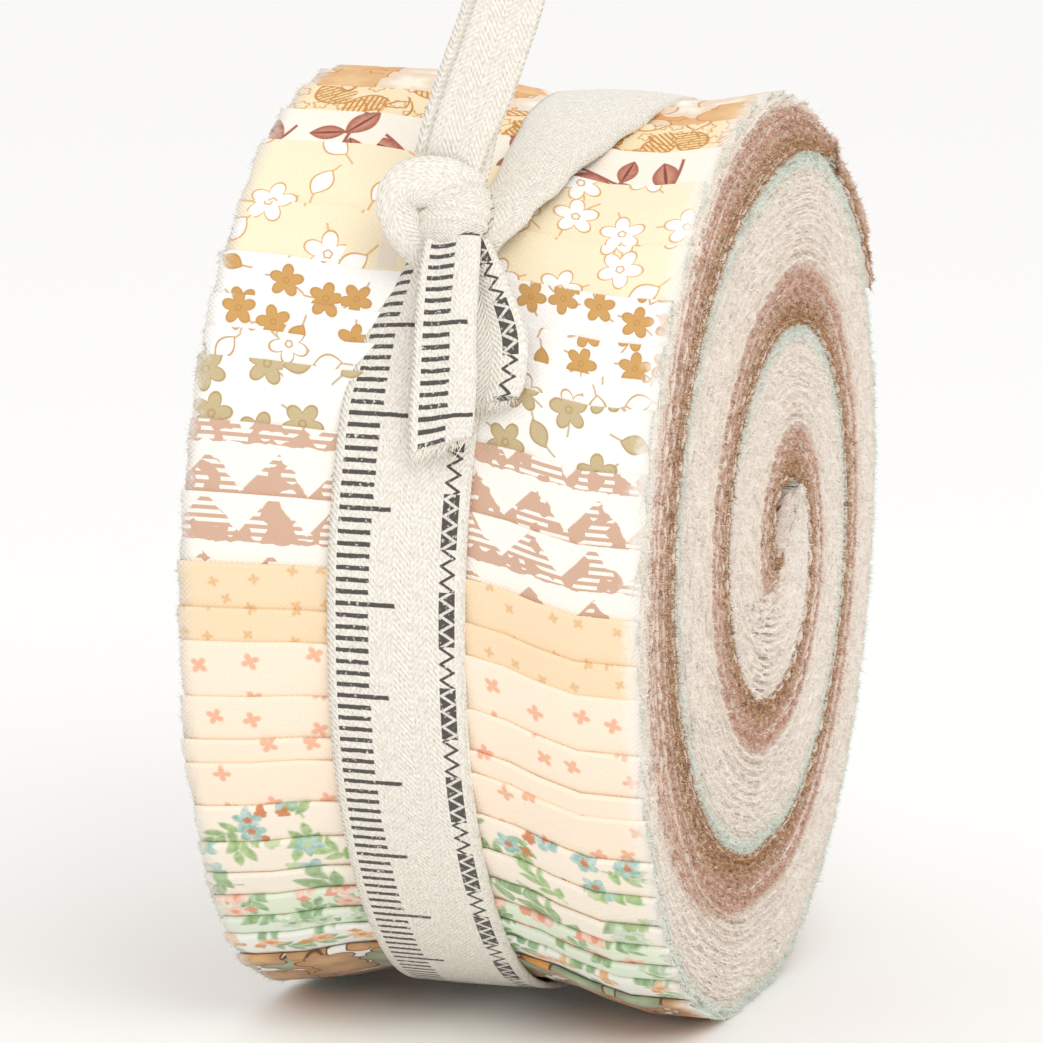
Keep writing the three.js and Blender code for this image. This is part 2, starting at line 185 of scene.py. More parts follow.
def measured(line):
    """The length along a line of points, at each of them."""
    return np.concatenate([[0], np.cumsum(np.linalg.norm(np.diff(line, axis=0), axis=1))])


def follow(rows, at):
    """The value at an angle, eased with smooth() from each row of (angle, value) to the next."""
    angle, value = np.array(rows, float).T
    i = np.clip(np.searchsorted(angle, at, side="right") - 1, 0, len(angle) - 2)
    return value[i] + (value[i + 1] - value[i]) * smooth((at - angle[i]) / (angle[i + 1] - angle[i]))


def wrapped(angle):
    """The angle brought into the turn that starts at the outermost strip's fold."""
    first = RIM[0][0]
    return first + np.mod(angle - first, 360)


def rim_radius(angle):
    """Radius of the roll before the tape draws it in, lower where the loose end lies on it."""
    at = wrapped(angle)
    return follow(RIM, at) - np.where(at > SEAT_ANGLE, follow(LOOSE_SEAT, at), 0)


def tape_middle(angle):
    """Where the tape's middle crosses, along the roll."""
    at = wrapped(angle)
    return follow(TAPE_MIDDLE, np.where(at > ROUTE_START, at - 360, at))


def beside_tape(angle, x):
    """Distance from the nearer edge of the tape, and zero under it."""
    return np.maximum(0, np.abs(x - tape_middle(angle)) - TAPE_WIDTH / 2)


def drawn_in(angle, x):
    """How far the tape pulls the rim in: a waist that fades with the distance from the tape."""
    low = (1 - np.sin(np.radians(angle))) / 2
    depth = WAIST_TOP + (WAIST_FRONT - WAIST_TOP) * low
    waist = depth * (1 - smooth(beside_tape(angle, x) / WAIST_SHOULDER))
    return waist + LEFT_SLIMMING * low * smooth(-2 * x / STRIP_WIDTH)


def inner_side(winding):
    """Radius of the stack's inner side: a spiral, flatter from top to bottom outside the core."""
    plain = np.maximum(TIGHTEST, CORE_RADIUS + TURN_PITCH * winding / 360)
    first, last, lift = SEAM_LIFT
    oval = OVALNESS * smooth(winding / OVAL_FROM) * np.sin(np.radians(winding)) ** 2
    return plain * (1 - oval) + lift * smooth((winding - first) / (last - first))


def outer_side(winding):
    """Radius of the stack's outer side: the next turn's inner side, or the rim."""
    return np.where(winding < OUTER_TURN, inner_side(winding + 360), rim_radius(winding))


def start_of(strip):
    return np.interp(strip, *np.array(STRIP_STARTS, float).T)


def there(strip, winding):
    """1 where the strip runs, easing to 0 at its free ends in the core."""
    return eased(winding, (start_of(strip), FREE_END_STRETCH))


def ended_by(winding):
    """How many of the stepped strips have ended before a winding angle."""
    ends = STRIP_ENDS[:STEPPED_STRIPS]
    return np.interp(winding, ends, np.arange(STEPPED_STRIPS) + 0.5, left=0, right=STEPPED_STRIPS)


def layer_radius(strip, winding, x):
    """Radius of the middle of a folded strip: the stack's inner side plus the strips below it, each
    as thick as the stack there divided by the strips in it."""
    below = sum(there(other, winding) for other in range(strip + 1, STRIP_COUNT + 1))
    here = there(strip, winding)
    above = sum(there(other, winding) for other in range(1, strip))
    share = (below + here + above) * (1 - ended_by(winding) / STRIP_COUNT)
    inner = inner_side(winding)
    stacked = inner + (outer_side(winding) - inner) * (below + here / 2) / np.maximum(share, 1)
    in_tie = drawn_in(winding, x) * np.clip((stacked - TIE_REACHES[0]) / TIE_REACHES[1], 0, 1)
    if strip <= STEPPED_STRIPS:
        return stacked - in_tie
    at = wrapped(winding)
    free = smooth(beside_tape(winding, x) / LOOSE_SIDE)
    gap = TIED_GAP + (follow(LOOSE_GAP, at) - TIED_GAP) * free
    rank = (STRIP_COUNT - strip + 0.5) / LOOSE_STRIPS
    loose = rim_radius(winding) - drawn_in(winding, x) + gap + follow(LOOSE_THICKNESS, at) * rank
    off = eased(winding - STRIP_ENDS[STEPPED_STRIPS - 1], LOOSE_LIFTS)
    return stacked - in_tie + (loose - stacked + in_tie) * off


def edge_tone(strip, winding):
    """Place of a strip's cut edge in the stack's run of colours: its share of the strips there, with
    the brown inner ones spread wider once the outer ones have ended."""
    share = (STRIP_COUNT - strip + 0.5) / (STRIP_COUNT - ended_by(winding))
    brown = BROWN_SHARE + (OUTER_BROWN_SHARE - BROWN_SHARE) * eased(winding, BROWN_WIDENS)
    brown += (1 - OUTER_BROWN_SHARE) * eased(winding, BROWN_FILLS)
    inside = share / brown * BROWN_SHARE
    outside = BROWN_SHARE + (share - brown) / np.maximum(1 - brown, 0.01) * (1 - BROWN_SHARE)
    return np.clip(np.where(share < brown, inside, outside), 0, 1)


def skewed(winding, end, x):
    """The winding angle, further on near a strip's fold the nearer it lies to the left."""
    at = wrapped(winding)
    behind = eased(at, SKEW_STOPS) * (1 - eased(at, SKEW_RESUMES))
    lean = END_SKEW * (1 - eased(x, SKEW_ACROSS)) * (1 - behind)
    return winding + lean * eased(winding - end, (-SKEW_STRETCH, SKEW_STRETCH))


def on_roll(winding, radius, x):
    """Points at a winding angle and radius, pushed out along X, shifted near the core, and drawn in
    at the bottom so that the rim lies flat on the floor."""
    inward = 1 - (radius / DOME_RADIUS) ** 2
    angle = np.radians(winding)
    low = np.maximum(-np.sin(angle), 0.01)
    radius = radius * np.minimum(1, FLOOR_DEPTH / (rim_radius(winding) * low))
    y = -radius * np.cos(angle) + EYE[0] * inward
    z = radius * np.sin(angle) + EYE[1] * inward
    return np.stack(np.broadcast_arrays(x + DOME * inward, y, z), -1)


COARSE_STEP = 9.0
COARSE_ANGLE = 14.0
FINE_PER_STEP = 4
FOLD_STEPS = 6
COLUMNS = np.array([-29.6, -23, -17, -12.5, -7.5, -2.4, 2.7, 7.5, 12.5, 17, 23, 29.6])
TOOTH_PITCH = 4.0
TOOTH_DEPTH = 0.5
STACK_HALF = 8
LAYER_SCATTER = 0.18


def strip_path(strip):
    """Stations along a folded strip: winding angle, and the turn of the fold from 0 on the outer
    layer to 180 on the inner one. Each coarse step is cut into FINE_PER_STEP fine ones."""
    start, end = start_of(strip), STRIP_ENDS[strip - 1]
    angles = [start]
    while angles[-1] < end:
        radius = float(inner_side(np.array(angles[-1]))) + STACK_HALF
        angles.append(angles[-1] + min(COARSE_ANGLE, math.degrees(COARSE_STEP / radius)))
    out = np.array(angles)
    out = start + (out - start) * (end - start) / (out[-1] - start)
    winding = np.concatenate([out, np.full(FOLD_STEPS - 1, end), out[::-1]])
    turn = np.concatenate([
        np.zeros(len(out)), np.linspace(0, 180, FOLD_STEPS + 1)[1:-1], np.full(len(out), 180.0)
    ])
    steps = np.arange(len(winding))
    fine = np.arange((len(winding) - 1) * FINE_PER_STEP + 1) / FINE_PER_STEP
    return np.interp(fine, steps, winding), np.interp(fine, steps, turn)


def strip_places(strip, winding, turn, x):
    """Middle of the cloth: the strip's radius, with its two layers on either side of it, and the outer
    layer puffed up in a round fold at the end."""
    end = STRIP_ENDS[strip - 1]
    arc = np.radians(end - winding) * FOLD_RADIUS
    free = eased(beside_tape(end, x), PUFF_SIDE)
    puff = END_PUFF * (0.25 + 0.75 * free) * (1 - smooth(arc / PUFF_LENGTH))
    height = LAYER_HALF_GAP + puff / 2
    rise = np.cos(np.radians(turn)) * height + puff / 2
    ahead = np.sin(np.radians(turn)) * height
    at = skewed(winding, end, x)
    radius = layer_radius(strip, at, x)
    return on_roll(at + np.degrees(ahead / np.maximum(radius, 1)), np.maximum(radius + rise, 0.3), x)


def teeth(fine_length, phase):
    """A pinked edge: a zigzag of the tooth pitch along the strip."""
    t = np.mod(fine_length / TOOTH_PITCH + phase, 1)
    return TOOTH_DEPTH * (np.abs(2 * t - 1) - 0.5)


def quads(ids):
    """The faces between a grid's points."""
    return np.stack([ids[:-1, :-1], ids[:-1, 1:], ids[1:, 1:], ids[1:, :-1]], -1)


def wall(ids):
    """The faces between two lines of points, one in each column."""
    return np.stack([ids[:-1, 0], ids[1:, 0], ids[1:, 1], ids[:-1, 1]], -1)


def strip_mesh(strip):
    """One folded strip as a closed thin sheet: coarse stations carry the columns between the edges,
    and fine stations carry the edges, so that they can be pinked."""
    winding, turn = strip_path(strip)
    fine = len(winding)
    coarse = np.arange(0, fine, FINE_PER_STEP)
    middle = strip_places(strip, winding, turn, np.zeros(fine))
    along = np.gradient(middle[:, 1:], axis=0)
    length = measured(middle)
    facing = unit(np.stack([-along[:, 1], along[:, 0]], 1))[:, None, :] * CLOTH_THICKNESS / 2

    def sides(stations, x):
        """Places at stations by x, on both faces of the cloth: (station, column, face, 3)."""
        at = strip_places(strip, winding[stations][:, None], turn[stations][:, None], x)
        both = np.repeat(at[:, :, None, :], 2, axis=2)
        both[:, :, 0, 1:] += facing[stations]
        both[:, :, 1, 1:] -= facing[stations]
        return both

    scatter = rng.normal(0, LAYER_SCATTER, 4)
    wander = scatter[0] + np.where(turn > 90, scatter[1], 0)
    phases = rng.random(4)
    edge_x = [
        side * STRIP_WIDTH / 2 + wander + teeth(length, phase) for side, phase in zip((-1, 1), phases)
    ]
    body = sides(coarse, COLUMNS[None, :])
    edges = [sides(np.arange(fine), x[:, None])[:, 0] for x in edge_x]
    points = np.concatenate([part.reshape(-1, 3) for part in (body, *edges)])
    columns = len(COLUMNS)
    body_id = np.arange(len(coarse) * columns * 2).reshape(len(coarse), columns, 2)
    edge_id = body_id.size + np.arange(fine * 4).reshape(2, fine, 2)
    faces, kinds = [], []

    def add(polygons, kind):
        faces.extend(polygons.reshape(-1, polygons.shape[-1]).tolist())
        kinds.extend([kind] * (polygons.size // polygons.shape[-1]))

    for side in (0, 1):
        b = body_id[:, :, side]
        add(quads(b)[..., ::-1] if side else quads(b), side)
        for edge, column in ((0, 0), (1, columns - 1)):
            e = edge_id[edge][:, side]
            fan = [e[i : fine - FINE_PER_STEP + i : FINE_PER_STEP] for i in range(FINE_PER_STEP + 1)]
            comb = np.stack([b[1:, column], b[:-1, column], *fan], -1)
            add(comb[..., ::-1] if (edge == 1) == (side == 1) else comb, side)
    for edge in (0, 1):
        e = edge_id[edge]
        add(wall(e)[..., ::-1] if edge else wall(e), 2)
    for station, flip in ((0, False), (-1, True)):
        row = np.concatenate([[edge_id[0][station]], body_id[station], [edge_id[1][station]]])
        add(wall(row) if flip else wall(row)[..., ::-1], 2)

    def per_point(on_body, on_edges):
        """A value for each point, given for the body's stations or columns and for the edges' stations."""
        spread = np.broadcast_to(on_body, body_id.shape).ravel()
        return np.concatenate([spread, *(np.repeat(values, 2) for values in on_edges)])

    across = per_point(COLUMNS[None, :, None], edge_x)
    lengthwise = per_point(length[coarse][:, None, None], (length, length))
    tone = edge_tone(strip, winding)
    tones = per_point(tone[coarse][:, None, None], (tone, tone))
    lines = {-1: edges[0].mean(axis=1), 1: edges[1].mean(axis=1)}
    return points, faces, np.array(kinds), across, lengthwise, tones, lines


def finished(name, points, faces):
    """A mesh object with its place in its mesh, in metres, riding on the roll."""
    mesh = bpy.data.meshes.new(name)
    placed = np.asarray(points, float) * MM + np.array(WINDING_MIDDLE)
    mesh.from_pydata(placed.tolist(), [], faces)
    mesh.update()
    piece = in_scene(name, mesh)
    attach(piece, "root")
    return piece


class Wire:
    """A socket of a finish, with arithmetic on its numbers: see OPERATIONS."""

    def __init__(self, finish, socket):
        self.finish = finish
        self.socket = socket

    def math(self, operation, *others):
        values = dict(enumerate((self, *others)))
        return self.finish.node("ShaderNodeMath", {"operation": operation}, values)

    def __neg__(self):
        return self * -1

    def __rsub__(self, other):
        return -self + other

    def ramp(self, start, end):
        """0 at start and 1 at end, eased between them and level outside."""
        stops = (start, end, 0, 1) if start < end else (end, start, 1, 0)
        values = dict(enumerate((self, *stops)))
        return self.finish.node("ShaderNodeMapRange", {"interpolation_type": "SMOOTHSTEP"}, values)


OPERATIONS = {
    "__add__": "ADD", "__radd__": "ADD", "__sub__": "SUBTRACT", "__mul__": "MULTIPLY",
    "__truediv__": "DIVIDE", "__mod__": "FLOORED_MODULO", "__abs__": "ABSOLUTE", "sin": "SINE",
    "cos": "COSINE", "root": "SQRT", "least": "MINIMUM", "most": "MAXIMUM", "over": "GREATER_THAN",
}
for method, operation in OPERATIONS.items():
    setattr(Wire, method, partialmethod(Wire.math, operation))


class Finish:
    """A material whose nodes are added one by one."""

    def __init__(self, name):
        self.material = bpy.data.materials.new(name)
        self.material.use_nodes = True
        self.tree = self.material.node_tree

    def node(self, kind, settings=None, values=None, output=0):
        """Adds a node, with its settings first and then the values or links of its sockets."""
        added = self.tree.nodes.new(kind)
        for name, value in (settings or {}).items():
            setattr(added, name, value)
        self.feed(added, values or {})
        return Wire(self, added.outputs[output])

    def feed(self, node, values):
        """Sets or links each socket named or numbered in the values."""
        for key, value in values.items():
            if isinstance(value, Wire):
                self.tree.links.new(value.socket, node.inputs[key])
            else:
                node.inputs[key].default_value = value

    def mix(self, factor, below, above):
        """The colour below where the factor is 0, and the colour above where it is 1."""
        return self.node("ShaderNodeMix", {"data_type": "RGBA"}, {0: factor, 6: below, 7: above}, 2)

    def vector(self, operation, one, other):
        return self.node("ShaderNodeVectorMath", {"operation": operation}, {0: one, 1: other})

    def split(self, vector):
        parts = self.node("ShaderNodeSeparateXYZ", None, {0: vector})
        return [Wire(self, out) for out in parts.socket.node.outputs]

    def flat_places(self):
        """The cloth's UV map in millimetres: across and along it, and both as one vector."""
        places = self.node("ShaderNodeUVMap", {"uv_map": "Cloth"})
        across, along, _ = self.split(places)
        return across, along, places

    def noise(self, places, size, detail=2.0):
        values = {"Vector": places, "Scale": 1 / size, "Detail": detail}
        return self.node("ShaderNodeTexNoise", None, values)

    def finish(self, colour, roughness, height=None, depth=0.0001):
        shader = self.tree.nodes["Principled BSDF"]
        self.feed(shader, {"Base Color": colour, "Roughness": roughness, "Sheen Weight": SHEEN})
        if height is not None:
            bump = self.node("ShaderNodeBump", None, {"Height": height, "Distance": depth})
            self.feed(shader, {"Normal": bump})
        return self.material


SHEEN = 0.15


def dye(code):
    """A colour written as six hex digits, as a socket's linear one."""
    parts = [int(code[i : i + 2], 16) / 255 for i in (0, 2, 4)]
    linear = [p / 12.92 if p <= 0.04045 else ((p + 0.055) / 1.055) ** 2.4 for p in parts]
    return (*linear, 1)


TURN = 2 * math.pi


class Motifs:
    """Printed motifs scattered over the cloth, one to a jittered cell: x and y run from its middle."""

    def __init__(self, finish, places, size, seed, jitter=0.75):
        shifted = finish.vector("ADD", places, (seed * 31.7, seed * 17.3, 0))
        values = {"Scale": 1 / size, "Randomness": jitter, "Vector": shifted}
        cell = finish.node("ShaderNodeTexVoronoi", {"voronoi_dimensions": "2D"}, values, "Position")
        x, y, _ = finish.split(finish.vector("SUBTRACT", shifted, cell))
        self.lot, turned, _ = finish.split(Wire(finish, cell.socket.node.outputs["Color"]))
        angle = turned * TURN
        self.x = x * angle.cos() + y * angle.sin()
        self.y = y * angle.cos() - x * angle.sin()

    def flower(self, radius, petals, waist=0.55, x=0, y=0):
        """How far inside a flower: its edge is a circle that dips between the petals."""
        dx, dy = self.x - x, self.y - y
        lobes = abs((dy.math("ARCTAN2", dx) * (petals / 2)).cos())
        return (lobes * (1 - waist) + waist) * radius - (dx * dx + dy * dy).root()

    def leaf(self, length, width, x=0.0, y=0.0, angle=0.0):
        """How far inside a leaf: two arcs that meet at its points."""
        c, s = math.cos(math.radians(angle)), math.sin(math.radians(angle))
        dx, dy = self.x - x, self.y - y
        lengthwise = (dx * c + dy * s) / (length / 2)
        sideways = dy * c - dx * s
        return (1 - lengthwise * lengthwise) * (width / 2) - abs(sideways)

    def stem(self, length, bend, width):
        """How far inside a thin bent line through the middle."""
        line = width / 2 - abs(self.y - self.x * self.x * bend)
        return line.least(length / 2 - abs(self.x))


def filled(depth, soft=0.16):
    return depth.ramp(-soft, soft)


def outlined(depth, width=0.3, soft=0.12):
    return abs(depth).ramp(width / 2 + soft, width / 2 - soft)


def weave(finish, across, along, places):
    """Plain weave: a height that rises where each thread passes over the other, with uneven threads."""
    wander = finish.noise(places, 9, 3) * 1.2
    warp = ((across + wander) * (TURN / 2 / THREAD)).sin()
    weft = ((along + wander) * (TURN / 2 / THREAD)).sin()
    slub = finish.noise(finish.vector("MULTIPLY", places, (0.25, 3.0, 1)), 1.0, 1.0)
    return warp * weft * 0.5 + slub * 0.8


THREAD = 0.36
PRINT_FADE = (28.6, 31.6)
# Width in millimetres of the painted warm shade above each lower fold
CREASE_SHADE_WIDTH = 2.2
# How far each strip's print is moved along it, so that strips of one print don't repeat
PRINT_STEP = 11.3


def cotton(name, ground, design, lower_fold):
    """A printed cotton: the design's colours on the ground, with a painted warm shade in the crease above
    the fold that lies on it, faded in the fuzz of the cut edges, and woven, with painted shade in the low
    places of the weave."""
    f = Finish(name)
    across, along, places = f.flat_places()
    colour = design(f, dye(ground), places)
    # Painted shade: a warm, darker tint in the crease just above the lower strip's fold, where that fold
    # shades this strip
    crease_shade = (along - lower_fold).ramp(CREASE_SHADE_WIDTH, 0.2) * f.noise(places, 3.0, 1).ramp(0.15, 0.6)
    colour = f.mix(crease_shade * 0.55, colour, f.mix(0.6, colour, dye("F0A860")))
    ragged = across.most(-across - 1.2) + f.noise(places, 1.1, 1) * 3.0 - 1.5
    colour = f.mix(ragged.ramp(*PRINT_FADE) * 0.8, colour, dye("F4EEE6"))
    threads = weave(f, across, along, places)
    # Painted shade: darker colour where the weave's height is low, between the threads
    painted_gap_shade = threads.ramp(0.05, -0.35) * 0.16
    colour = f.mix(painted_gap_shade, colour, f.mix(0.55, colour, dye("8A6A48")))
    roughness = 0.86 + threads * 0.05
    return f.finish(colour, roughness, threads, 0.00005)


# In the designs, a number multiplied by the size is a share of a motif's cell, one in filled() or
# outlined() is in millimetres, and the others are shares of a mix or steps of the noise.


def repeat(draw):
    """Lets a design take its colours and sizes in the list of prints, and its cloth later."""
    return lambda *own, **named: lambda f, ground, places: draw(f, ground, places, *own, **named)


@repeat
def petals(f, ground, places, tones, outline, size, seed):
    """Big rounded petals with outlines, each in one of three colours."""
    first = Motifs(f, places, size, seed, 0.7)
    second = Motifs(f, places, size * 0.8, seed + 3, 0.8)
    colour = ground
    for spot, radius in ((second, 0.46), (first, 0.52)):
        depth = spot.flower(size * radius, 5, 0.72)
        others = f.mix(spot.lot.over(0.7), dye(tones[1]), dye(tones[2]))
        tone = f.mix(spot.lot.over(0.36), dye(tones[0]), others)
        towards_edge = spot.flower(size * radius * 0.5, 5, 0.6).ramp(1.4, -1.4)
        shade = f.mix(towards_edge * 0.35, tone, dye(outline))
        colour = f.mix(filled(depth), colour, shade)
        colour = f.mix(outlined(depth, 0.34), colour, dye(outline))
    return colour


@repeat
def sprigs(f, ground, places, leaf_tones, blossom, accent, size, seed, crowd=0.35):
    """Green sprigs: a bent stem with leaves along it, and blossoms with an accent in their middle."""
    spray = Motifs(f, places, size, seed, 0.8)
    leaves = spray.leaf(size * 0.5, size * 0.2, size * 0.12, size * 0.12, 35)
    for x, y, angle in ((-0.16, 0.1, 60), (0.05, -0.12, -30), (-0.26, -0.1, -65), (0.3, -0.02, 10)):
        leaves = leaves.most(spray.leaf(size * 0.42, size * 0.17, x * size, y * size, angle))
    leaves = leaves.most(spray.stem(size * 0.95, 0.12 / size, 0.3))
    mottled = f.noise(places, 1.2, 2)
    green = f.mix(mottled.ramp(0.35, 0.65), dye(leaf_tones[0]), dye(leaf_tones[1]))
    colour = f.mix(filled(leaves, 0.3) * 0.85, ground, green)
    bloom = Motifs(f, places, size * 0.82, seed + 5, 0.85)
    chosen = bloom.lot.over(1 - crowd)
    depth = bloom.flower(size * 0.26, 5, 0.6)
    mid = bloom.flower(size * 0.08, 5, 0.8)
    petal = f.mix(mottled.ramp(0.3, 0.7) * 0.4, dye(blossom), dye("FFFFFF"))
    colour = f.mix(filled(depth, 0.25) * chosen * 0.9, colour, petal)
    bud = bloom.flower(size * 0.13, 4, 0.6, size * 0.3, size * 0.1)
    colour = f.mix(filled(bud.most(mid), 0.2) * chosen * 0.9, colour, dye(accent))
    return colour


@repeat
def dots(f, ground, places, tone, size, seed, share=0.1):
    """Small soft dots in loose groups of four."""
    spot = Motifs(f, places, size, seed, 0.6)
    depth = spot.flower(size * share * 1.6, 4, 0.35)
    return f.mix(filled(depth, 0.25) * 0.8, ground, dye(tone))


@repeat
def line_flowers(f, ground, places, petal, line, size, seed, leaf=None, crowd=0.55, width=0.3):
    """Five-petalled flowers and pointed leaves in outline, the petals filled in a second colour."""
    flower = Motifs(f, places, size, seed, 0.7)
    colour = ground
    stems = flower.stem(size * 1.05, 0.35 / size, width)
    colour = f.mix(filled(stems, 0.1) * 0.8, colour, dye(line))
    chosen = flower.lot.over(1 - crowd)
    for depth, fill, shown in (
        (flower.leaf(size * 0.56, size * 0.36), leaf or petal, 1 - chosen),
        (flower.flower(size * 0.4, 5, 0.5), petal, chosen),
    ):
        colour = f.mix(filled(depth, 0.1) * shown, colour, dye(fill))
        colour = f.mix(outlined(depth, width) * shown, colour, dye(line))
    eye = flower.flower(size * 0.07, 5, 0.8)
    return f.mix(outlined(eye, width * 0.8) * chosen, colour, dye(line))


@repeat
def leafy_stems(f, ground, places, tones, size, seed):
    """Large shaded leaves with a dark vein, in pairs along a stem."""
    spray = Motifs(f, places, size, seed, 0.55)
    mottled = f.noise(places, 0.7, 2)
    colour = f.mix(filled(spray.stem(size * 1.1, 0.25 / size, 0.5), 0.12), ground, dye(tones[1]))
    leaves = ((0.24, 0.16, 28, 0.52), (-0.26, 0.08, 150, 0.5), (-0.02, -0.24, -75, 0.42))
    for x, y, angle, length in leaves:
        depth = spray.leaf(size * length, size * length * 0.58, x * size, y * size, angle)
        vein = spray.leaf(size * length, 0.5, x * size, y * size, angle)
        body = f.mix((depth + mottled * 1.2).ramp(0.3, 2.2), dye(tones[1]), dye(tones[0]))
        body = f.mix(filled(vein, 0.1), body, dye(tones[2]))
        colour = f.mix(filled(depth, 0.12), colour, body)
    return colour


@repeat
def hatched(f, ground, places, tone, light, size, seed, stripes=0.75):
    """Rounded leaves drawn in outline and hatched across."""
    leaf = Motifs(f, places, size, seed, 0.7)
    colour = ground
    for x, y, angle in ((0, 0, 0), (0.3, 0.34, 75)):
        depth = leaf.leaf(size * 0.9, size * 0.62, x * size, y * size, angle)
        lines = (leaf.x * (TURN / stripes)).sin().ramp(-0.1, 0.5)
        body = f.mix(lines, dye(light), dye(tone))
        colour = f.mix(filled(depth, 0.12) * leaf.lot.over(0.25), colour, body)
        colour = f.mix(outlined(depth, 0.4), colour, dye(tone))
    small = Motifs(f, places, size * 0.45, seed + 7, 0.9)
    return f.mix(outlined(small.flower(size * 0.16, 5, 0.6), 0.3) * 0.8, colour, dye(tone))


@repeat
def wedges(f, ground, places, tone, seed):
    """Rows of triangles, some filled and some striped, with bare ground between them."""
    across, along, _ = f.split(places)
    wander = f.noise(places, 2.5, 2) * 1.6
    slant = abs((across + seed + wander) % 9.0 - 4.5)
    rise = (along + wander) % 7.4
    filled_part = (slant * 1.1 - rise + 1.2).ramp(-0.15, 0.15)
    stripes = (along * (TURN / 1.05)).sin().ramp(-0.3, 0.2)
    plain_part = f.noise(places, 3.4, 1).over(0.5)
    ink = filled_part * (stripes + plain_part - stripes * plain_part) * 0.75
    return f.mix(ink, ground, dye(tone))


GREENS = ("9DBD8C", "6D9A58")
# Each print from the outermost strip inwards: strips, ground, design
PRINTS = (
    ((1,), "F6F2EA", petals(("E3A25A", "DDB080", "AEBB9C"), "6E4530", 8.5, 1)),
    ((2,), "F4F4EC", sprigs(GREENS, "E9AC6C", "DE9448", 7.4, 3, 0.85)),
    ((3,), "E6EEDC", sprigs(GREENS, "B9CFA8", "8FAE80", 6.8, 2, 0.7)),
    ((4,), "E4EDD6", sprigs(GREENS, "F0BDA6", "E79A7C", 7.4, 4, 0.9)),
    ((5,), "F6ECDD", sprigs(GREENS, "C9D8BC", "A8C08A", 12.0, 22, 0.2)),
    ((6,), "F8EDDD", sprigs(("A9C886", "7FAE5C"), "8DBBAE", "C5D3A8", 8.4, 5, 0.5)),
    ((7,), "F9ECDB", sprigs(("A9C886", "6F9E58"), "7FB3A8", "CF7A42", 8.0, 6, 0.8)),
    ((8, 9, 10, 11), "FBE8D2", dots("EFA985", 6.4, 7, 0.12)),
    ((12, 13), "F3DAB6", dots("E4B67E", 4.6, 8, 0.1)),
    ((14, 15), "FAF3EA", wedges("C28A62", 10)),
    ((16,), "FAF6EF", line_flowers("C9B58C", "B59A68", 7.0, 11)),
    ((17,), "FCF9F4", line_flowers("FDFAF5", "C9A067", 6.5, 12)),
    ((18, 19), "FCF9F4", line_flowers("D0A05E", "C4924E", 5.6, 13, crowd=0.7)),
    ((20, 21), "FCECCB", line_flowers("FFFEFB", "DDA75E", 8.4, 14)),
    ((22,), "FBF3E4", leafy_stems(("D08F74", "A65644", "84392C"), 12.5, 15)),
    ((23,), "F8E3B9", hatched("CC8630", "F3D8A0", 7.0, 16)),
    ((24, 25, 26), "E4A45C", petals(("FDF9EF", "FAF0DC", "EBBE82"), "D08A3E", 11.0, 17)),
    ((27, 28, 29), "EBC38C", hatched("B8742E", "E9C791", 6.0, 18)),
    ((30, 31, 32), "DDB07A", line_flowers("E9CFA4", "A5672E", 6.4, 19)),
    ((33, 34, 35), "E2B983", leafy_stems(("C98E58", "99602E", "6E4018"), 8.5, 23)),
    ((36, 37, 38), "C8935A", petals(("E3BE8C", "B97B3E", "DCAE74"), "7E4A1E", 6.5, 20)),
    ((39, 40), "D2A061", dots("8A5526", 3.2, 21, 0.14)),
)

# Colours of the cut edges across the stack, from its inner side to its outer side
EDGE_TONES = (
    (0.0, "B0783A"), (0.1, "BC8A4E"), (0.15, "D0A585"), (0.31, "D9B09A"), (0.36, "F0E4D8"), (0.6, "F7EFE6"),
    (0.88, "F3EBE1"), (0.94, "DCE6DC"), (1.0, "DFE8DE"),
)


def fringe(name, paler, speck):
    """Cut edges: each strip's own tone, with dark specks of print and white ones of bare thread, as
    big as the speck in millimetres."""
    f = Finish(name)
    share = f.node("ShaderNodeAttribute", {"attribute_name": "place_in_stack"}, None, 2)
    tone = f.node("ShaderNodeValToRGB", None, {0: share})
    stops = tone.socket.node.color_ramp.elements
    while len(stops) < len(EDGE_TONES):
        stops.new(0.5)
    for stop, (at, code) in zip(stops, EDGE_TONES):
        stop.position = at
        stop.color = dye(code)
    places = f.node("ShaderNodeTexCoord", output=3)
    grain = f.noise(places, speck * MM, 1.0)
    warm = share.ramp(BROWN_SHARE, BROWN_SHARE - 0.04)
    dark = f.mix(warm, dye("B9A79A"), f.mix(share.ramp(0.16, 0.1), dye("94644C"), dye("7A4817")))
    tone = f.mix(grain.ramp(0.55, 0.62) * (0.28 + warm * 0.5), tone, dark)
    tone = f.mix(grain.ramp(0.44, 0.34) * 0.6, tone, dye("F7F1EA"))
    return f.finish(f.mix(paler, tone, dye("FBF8F4")), 0.95)


def give_cloth_map(piece, across, along):
    """A UV map in millimetres across and along the cloth."""
    corners = np.empty(len(piece.data.loops), np.int32)
    piece.data.loops.foreach_get("vertex_index", corners)
    layer = piece.data.uv_layers.new(name="Cloth")
    layer.uv.foreach_set("vector", np.stack([across, along], 1)[corners].astype(np.float32).ravel())


def give_stack_place(piece, share):
    attribute = piece.data.attributes.new("place_in_stack", "FLOAT", "POINT")
    attribute.data.foreach_set("value", np.asarray(share, np.float32))


cut_edges = fringe("cut edges", 0.0, 0.35)
wrong_sides = Finish("wrong side")
side_threads = weave(wrong_sides, *wrong_sides.flat_places())
wrong_side = wrong_sides.finish(dye("F3E6D6"), 0.9, side_threads, 0.00005)

